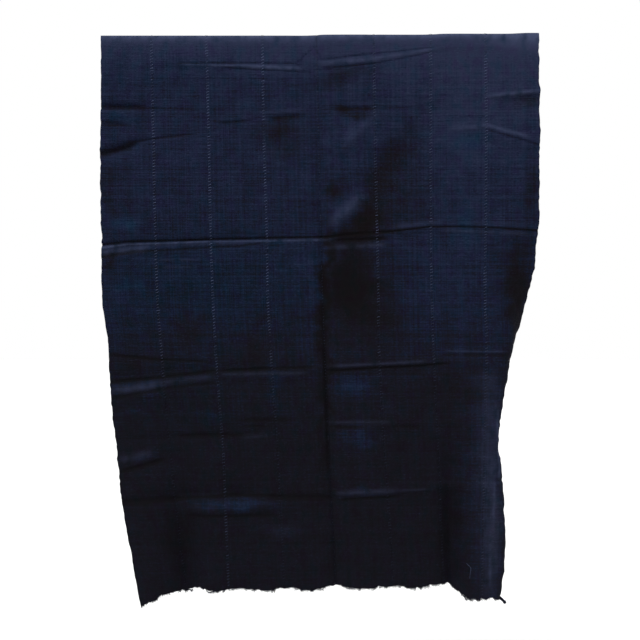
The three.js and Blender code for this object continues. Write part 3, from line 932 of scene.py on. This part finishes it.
def cotton_material(scene, weave_group, dye_group):
    """Dyed hand-woven cotton, whose tone and pale mask also carry painted shade and highlight."""
    colours, sizes = scene.cloth_colours, scene.cloth_sizes
    material, graph, shader = new_material("indigo cotton", {
        "Roughness": 0.92, "Specular IOR Level": 0.03, "Sheen Weight": 0.012,
        "Sheen Roughness": 0.45, "Sheen Tint": (0.5, 0.6, 1, 1)})
    uv = graph.add("ShaderNodeUVMap", uv_map="cloth_uv").outputs[0]
    weave = graph.add("ShaderNodeGroup", {
        "Vector": uv, "Warp Spacing": sizes.warp_spacing, "Weft Spacing": sizes.weft_spacing},
        node_tree=weave_group)
    dye = graph.add("ShaderNodeGroup", {"Vector": uv}, node_tree=dye_group)
    tone, wear_and_highlight, hue = (graph.add("ShaderNodeAttribute", attribute_name=name).outputs["Fac"]
                       for name in ("tone", "wear_and_highlight", "hue"))
    uneven = graph.times(dye.outputs["Dark Fleck"], -0.3)
    for source, share in ((dye.outputs["Cloud"], 0.44), (dye.outputs["Streak"], 0.74),
                          (weave.outputs["Thread Tone"], 0.36)):
        part = graph.times(graph.math("SUBTRACT", source, 0.5), share)
        uneven = graph.plus(uneven, part)
    shown = graph.plus(graph.times(graph.between(tone, 0, 0.5), 0.5), 0.5)
    tone = graph.plus(tone, graph.times(uneven, shown))
    # The tone, with its painted shade and highlight, picks the colour from deep to pale
    ramp = graph.add("ShaderNodeValToRGB", {"Fac": tone})
    stops = ramp.color_ramp.elements
    stops[0].position, stops[0].color = 0.0, rgba(colours.deep)
    stops[1].position, stops[1].color = 0.95, rgba(colours.pale)
    for position, colour in ((0.27, colours.dusky), (0.5, colours.indigo)):
        stops.new(position).color = rgba(colour)
    drift = dye.outputs["Drift"]
    to_violet = graph.times(graph.between(drift, 0.5, 0.68), 0.6)
    to_teal = graph.plus(graph.times(graph.between(drift, 0.46, 0.3), 0.5),
                         graph.between(hue, 0, 1))
    colour = graph.mix(to_violet, ramp.outputs[0], rgba(colours.violet), "MULTIPLY")
    colour = graph.mix(to_teal, colour, rgba(colours.teal), "MULTIPLY")
    colour = graph.mix(graph.between(hue, 0, -1), colour, rgba(colours.brown), "MULTIPLY")
    flecked = graph.times(dye.outputs["Pale Fleck"], graph.between(tone, -0.2, 0.8))
    # The pale mask is wear and painted highlight, on the creases and over the turned top edge
    rubbed_and_lit = graph.times(wear_and_highlight, graph.between(drift, 0.2, 0.6))
    pale = graph.plus(graph.times(flecked, 0.3), rubbed_and_lit)
    colour = graph.mix(pale, colour, rgba(colours.wear_and_highlight))
    graph.join(colour, shader.inputs["Base Color"])
    fuzz = graph.times(dye.outputs["Pale Fleck"], 0.8)
    high = graph.plus(weave.outputs["Height"], fuzz)
    bump = graph.add("ShaderNodeBump", {"Strength": 0.6, "Distance": 0.0004, "Height": high})
    graph.join(bump.outputs[0], shader.inputs["Normal"])
    return material


def thread_material(name, light, dark):
    """Hand-spun thread, paler where its tone is high."""
    material, graph, shader = new_material(name, {"Roughness": 0.9, "Specular IOR Level": 0.05})
    place = graph.add("ShaderNodeTexCoord").outputs["Object"]
    tone = graph.add("ShaderNodeAttribute", attribute_name="tone").outputs["Fac"]
    uneven = graph.times(graph.math("SUBTRACT", graph.noise(place, 260), 0.5), 0.9)
    colour = graph.mix(graph.plus(tone, uneven), rgba(dark), rgba(light))
    graph.join(colour, shader.inputs["Base Color"])
    bump = graph.add("ShaderNodeBump", {
        "Strength": 0.5, "Distance": 0.0002, "Height": graph.noise(place, 2600)})
    graph.join(bump.outputs[0], shader.inputs["Normal"])
    return material


def material_named(name, make):
    """A material that is made once."""
    return bpy.data.materials.get(name) or make()


def cotton(scene):
    return material_named("indigo cotton", lambda: cotton_material(
        scene, hand_weave_group(), uneven_dye_group()))


def sewing_thread(scene):
    colours = scene.cloth_colours
    return material_named("sewing thread", lambda: thread_material(
        "sewing thread", colours.thread, colours.dusky))


def frayed_cotton(scene):
    colours = scene.cloth_colours
    return material_named("frayed cotton", lambda: thread_material(
        "frayed cotton", colours.pale, colours.deep))


# The pieces


def strip_parts(strip, spacing):
    """Where a strip's mesh has its columns, closer together at its edges."""
    width = STRIP_WIDTHS[strip]
    near = np.array(EDGE_COLUMNS) / width
    count = int(round((width - 2 * EDGE_BAND) / spacing)) + 1
    middle = np.linspace(EDGE_BAND / width, 1 - EDGE_BAND / width, count)
    return np.concatenate([near, middle, 1 - near[::-1]])


class CLOTH_OT_make_strips(bpy.types.Operator):
    """Makes the eight woven strips as thin sheets, each with its creases and its dye"""

    bl_idname = "indigo_cloth.make_strips"
    bl_label = "Make the strips"

    def execute(self, context):
        sizes = context.scene.cloth_sizes
        material = cotton(context.scene)
        total = BACK_FALL + QUARTER_TURN + length_at(USUAL_DROP)
        rows = int(round(total / (sizes.row_spacing / MM)))
        table = row_table(rows)
        for strip in range(STRIPS):
            parts = strip_parts(strip, sizes.column_spacing / MM)
            lengths = strip_rows(strip, parts, table)
            part = np.repeat(parts[:, None], rows, axis=1)
            middle, down = cloth_surface(strip, part, lengths)
            outward = out_of_face(strip, part, lengths)
            edge = np.minimum(part, 1 - part) * STRIP_WIDTHS[strip]
            share = sizes.selvedge_share + (1 - sizes.selvedge_share) * ease(0, SELVEDGE, edge)
            places, faces = closed_sheet(middle, outward, sizes.thickness / MM * share)
            # The tone and pale mask carry painted shade and highlight besides the dye and its wear
            tone, wear_and_highlight, hue = dye_and_painted_light_of(middle[..., 0], down, lengths)
            plain = np.full_like(tone, INNER_TONE)
            uv = np.stack([(strip + part) * STRIP_WIDTH, lengths], axis=-1).reshape(-1, 2) * MM
            piece = new_piece(
                f"cloth_strip_{strip + 1}", places, faces, material,
                {"tone": np.stack([tone, plain]), "wear_and_highlight": np.stack([wear_and_highlight, 0 * wear_and_highlight]),
                 "hue": np.stack([hue, 0 * hue])},
                np.concatenate([uv, uv]))
            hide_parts(f"strip_{strip + 1}")
        return {"FINISHED"}


class CLOTH_OT_sew_seams(bpy.types.Operator):
    """Whips one thread over and over along each of the seven seams"""

    bl_idname = "indigo_cloth.sew_seams"
    bl_label = "Sew the seams"

    def execute(self, context):
        sizes = context.scene.sewing_sizes
        half = context.scene.cloth_sizes.thickness / MM / 2
        pitch, reach = sizes.stitch_pitch / MM, sizes.stitch_reach / MM
        radius = sizes.thread_radius / MM
        material = sewing_thread(context.scene)
        steps, sides = 12, 5
        for seam in range(1, STRIPS):
            first, last = back_length(seam) + 3, hem_length(seam) - 3
            turns = int((last - first) / pitch)
            # The stitches are uneven in their pitch, in their reach and in how pale they show
            phase = np.arange(turns * steps + 1) / steps
            length = first + (last - first) * phase / turns
            length = length + 1.3 * soft_noise(40 + seam, phase * 0.8, 0.5)
            ones = np.ones_like(length)
            middle, down = cloth_surface(seam - 1, ones, length)
            right, _, outward = directions(seam - 1, ones, length)
            wide = reach * (1 + 0.55 * soft_noise(50 + seam, phase * 0.9, 0.5))
            high = half + radius * 1.3
            turn = 2 * math.pi * phase
            cos, sin = np.cos(turn)[:, None], np.sin(turn)[:, None]
            path = middle + right * cos * wide[:, None] + outward * sin * high
            high_up, low_down = SEAMS_SHOW[seam - 1]
            fade = high_up + (low_down - high_up) * ease(*SEAMS_FADE, down)
            fade = fade * (0.7 + 0.35 * soft_noise(60 + seam, length / 40, 0.5)
                           + 0.7 * soft_noise(80 + seam, length / 8, 0.5))
            tone = np.repeat(np.where(length < 0, 0.4, fade), sides)
            new_threads(f"seam_sewing_{seam}", path[None], (right * cos + outward * sin)[None],
                        np.full((1, len(path)), radius), sides, material, tone)
        return {"FINISHED"}


class CLOTH_OT_fray_ends(bpy.types.Operator):
    """Lets loose thread ends hang out of both raw ends of each strip"""

    bl_idname = "indigo_cloth.fray_ends"
    bl_label = "Fray the raw ends"

    def execute(self, context):
        sizes = context.scene.sewing_sizes
        material = frayed_cotton(context.scene)
        rng = np.random.default_rng(RNG_SEED)
        longest, radius = sizes.fray_length / MM, sizes.fray_radius / MM
        points, sides = 5, 4
        for strip in range(STRIPS):
            paths, widths, tones = [], [], []
            count = int(STRIP_WIDTHS[strip] / (sizes.fray_spacing / MM))
            for end, way, share in ((hem_length, 1, 1.0), (back_length, -1, 0.6)):
                part = (np.arange(count) + rng.uniform(0.1, 0.9, count)) / count
                length = end(strip + part) - way * 1.5
                root, _ = cloth_surface(strip, part, length)
                right, along, outward = directions(strip, part, length)
                # Longer ends in tufts, which lean by clumps, leave the face a little and curl
                tuft = (0.5 + 0.5 * soft_noise(71, (strip + part) * 17, 0.5)) ** 2
                long = longest * share * (0.06 + 0.6 * tuft
                                          + 0.34 * rng.uniform(0, 1, count) ** 3) + 1.5
                t = np.linspace(0, 1, points)[None, :, None]
                clump = soft_noise(70, (strip + part) * 22, 0.5)
                lean = (0.45 * clump + rng.normal(0, 0.22, count))[:, None, None]
                out = rng.normal(0, 0.16, count)[:, None, None]
                curl = rng.normal(0, 0.3, count)[:, None, None]
                heading = (way * along[:, None] + right[:, None] * (lean * t + curl * t * t)
                           + outward[:, None] * out * t)
                paths.append(root[:, None] + heading * t * long[:, None, None])
                widths.append(radius * np.linspace(1, 0.55, points)[None]
                              * rng.uniform(0.8, 1.2, count)[:, None])
                tones.append(np.repeat(rng.uniform(0, 0.8, count) ** 2, points * sides))
            paths, widths = np.concatenate(paths), np.concatenate(widths)
            aside = np.broadcast_to([0.3, -1.0, 0.1], paths.shape)
            new_threads(f"frayed_ends_{strip + 1}", paths, aside, widths, sides, material,
                        np.concatenate(tones))
        return {"FINISHED"}


class CLOTH_OT_loose_threads(bpy.types.Operator):
    """Lays the loose pale thread on the face and twists the tail of the lower right corner"""

    bl_idname = "indigo_cloth.loose_threads"
    bl_label = "Add the loose threads"

    def execute(self, context):
        sides, points, radius = 6, 28, 0.5
        rows = np.linspace(0, 1, points)
        given = np.linspace(0, 1, len(LOOSE_THREAD))
        part, down = (look_up(given, column(LOOSE_THREAD, number), rows) for number in (0, 1))
        place = (LOOSE_THREAD_STRIP, part, length_at(down))
        outward = directions(*place)[2]
        path = cloth_surface(*place)[0] + outward * (1.1 + 0.5 * np.sin(rows * 9))[:, None]
        new_threads("loose_thread", path[None], outward[None], np.full((1, points), radius), sides,
                    sewing_thread(context.scene), 0.4)

        # The tail: two plies twisted round a core that starts at the corner
        edge = np.linspace(0.05, 0.95, 60)
        corner, _ = cloth_surface(LAST_STRIP, edge, hem_length(LAST_STRIP + edge) - 1)
        start = corner[np.argmax(corner[:, 0])] + np.array(TAIL_STARTS)
        t = np.linspace(0, 1, 40)[:, None]
        core = start + np.array(TAIL_REACHES) * t + np.array([0, 0, TAIL_BOW]) * t * (1 - t)
        turn = 2 * math.pi * TAIL_TURNS * t
        around = np.cos(turn) * [0.55, 0, 0.83] + np.sin(turn) * [0.0, 1.0, 0.0]
        # It thins toward its end and has a small knot there
        taper = 1 - 0.3 * t + 0.3 * np.exp(-(((t - 0.92) / 0.07) ** 2))
        aside = PLY_OFFSET * taper * around
        plies = np.stack([core + aside, core - aside])
        new_threads("corner_tail", plies, np.broadcast_to([0, -1.0, 0.2], plies.shape),
                    np.repeat(PLY_RADIUS * taper.T, 2, axis=0), sides,
                    frayed_cotton(context.scene), 0.25)
        return {"FINISHED"}


class CLOTH_OT_state_sheets(bpy.types.Operator):
    """Works out the flat length of each strip, but states it nowhere"""

    bl_idname = "indigo_cloth.state_sheets"
    bl_label = "State the flat sizes"

    def execute(self, context):
        for strip in range(STRIPS):
            middle = strip + 0.5
            long = float(hem_length(middle) - back_length(middle))
        return {"FINISHED"}


class CLOTH_OT_set_stage(bpy.types.Operator):
    """Sets the pale floor, the soft lights and the camera"""

    bl_idname = "indigo_cloth.set_stage"
    bl_label = "Set the stage"

    def execute(self, context):
        scene, studio = context.scene, context.scene.studio_sizes
        bpy.ops.object.select_all(action="DESELECT")
        bpy.ops.mesh.primitive_circle_add(
            vertices=64, radius=40, fill_type="NGON", location=(0, 0, studio.floor_level))
        floor = context.active_object
        floor.name = "floor"
        pale, graph, shader = new_material("pale floor", {"Roughness": 0.9})
        place = graph.add("ShaderNodeTexCoord").outputs["Object"]
        shade = graph.mix(graph.noise(place, 3), (0.9, 0.9, 0.9, 1), (0.93, 0.93, 0.93, 1))
        graph.join(shade, shader.inputs["Base Color"])
        floor.data.materials.append(pale)
        # Each lamp: its name, the way to it, how many degrees wide it looks, how bright it is
        suns = (("key", (-0.3, -0.7, 1.0), 24, 3.0), ("fill", (0.8, -0.9, 0.15), 40, 0.35),
                ("behind", (0.35, 0.8, 0.9), 24, 1.1))
        for name, toward, spread, power in suns:
            data = bpy.data.lights.new(name, "SUN")
            data.angle, data.energy = math.radians(spread), power * studio.light
            lamp = bpy.data.objects.new(name, data)
            lamp.location = Vector(toward) * 3
            lamp.rotation_euler = Vector(toward).to_track_quat("Z", "Y").to_euler()
            scene.collection.objects.link(lamp)
        world = bpy.data.worlds.new("pale room")
        world.use_nodes = True
        scene.world = world
        graph = Graph(world.node_tree)
        seen = graph.add("ShaderNodeLightPath").outputs["Is Camera Ray"]
        # White to the camera, and dimmer as a light
        strength = graph.add("ShaderNodeMix", {0: seen, 2: 0.36, 3: 1.0})
        background = world.node_tree.nodes["Background"]
        background.inputs["Color"].default_value = (1, 1, 1, 1)
        graph.join(strength.outputs[0], background.inputs["Strength"])
        scene.view_settings.view_transform = "Standard"
        data = bpy.data.cameras.new("camera")
        data.sensor_width = 36
        data.lens = data.sensor_width * studio.camera_distance / studio.frame_height
        camera = bpy.data.objects.new("camera", data)
        camera.location = (0, -studio.camera_distance - FACE_FORWARD * MM, -CAMERA_DOWN * MM)
        camera.rotation_euler = (math.pi / 2, 0, 0)
        scene.collection.objects.link(camera)
        scene.camera = camera
        return {"FINISHED"}


OPERATORS = [CLOTH_OT_set_stage, CLOTH_OT_make_strips, CLOTH_OT_sew_seams, CLOTH_OT_fray_ends,
             CLOTH_OT_loose_threads, CLOTH_OT_state_sheets]
GROUPS = [("cloth_sizes", ClothSizes), ("sewing_sizes", SewingSizes),
          ("cloth_colours", ClothColours), ("studio_sizes", StudioSizes)]


class CLOTH_PT_panel(bpy.types.Panel):
    """Lists the cloth's sizes and the steps that make it"""

    bl_idname = "CLOTH_PT_panel"
    bl_label = "Indigo cloth"
    bl_space_type = "VIEW_3D"
    bl_region_type = "UI"
    bl_category = "Cloth"

    def draw(self, context):
        for name, group in GROUPS:
            box = self.layout.box()
            for field in group.__annotations__:
                box.prop(getattr(context.scene, name), field)
        for operator in OPERATORS:
            self.layout.operator(operator.bl_idname)


def register():
    for name, group in GROUPS:
        bpy.utils.register_class(group)
        setattr(bpy.types.Scene, name, PointerProperty(type=group))
    for cls in (*OPERATORS, CLOTH_PT_panel):
        bpy.utils.register_class(cls)


def unregister():
    for cls in (CLOTH_PT_panel, *reversed(OPERATORS)):
        bpy.utils.unregister_class(cls)
    for name, group in reversed(GROUPS):
        delattr(bpy.types.Scene, name)
        bpy.utils.unregister_class(group)


def main():
    register()
    bpy.ops.indigo_cloth.set_stage()
    bpy.ops.indigo_cloth.make_strips()
    bpy.ops.indigo_cloth.sew_seams()
    bpy.ops.indigo_cloth.fray_ends()
    bpy.ops.indigo_cloth.loose_threads()
    bpy.ops.indigo_cloth.state_sheets()


if __name__ == "__main__":
    main()
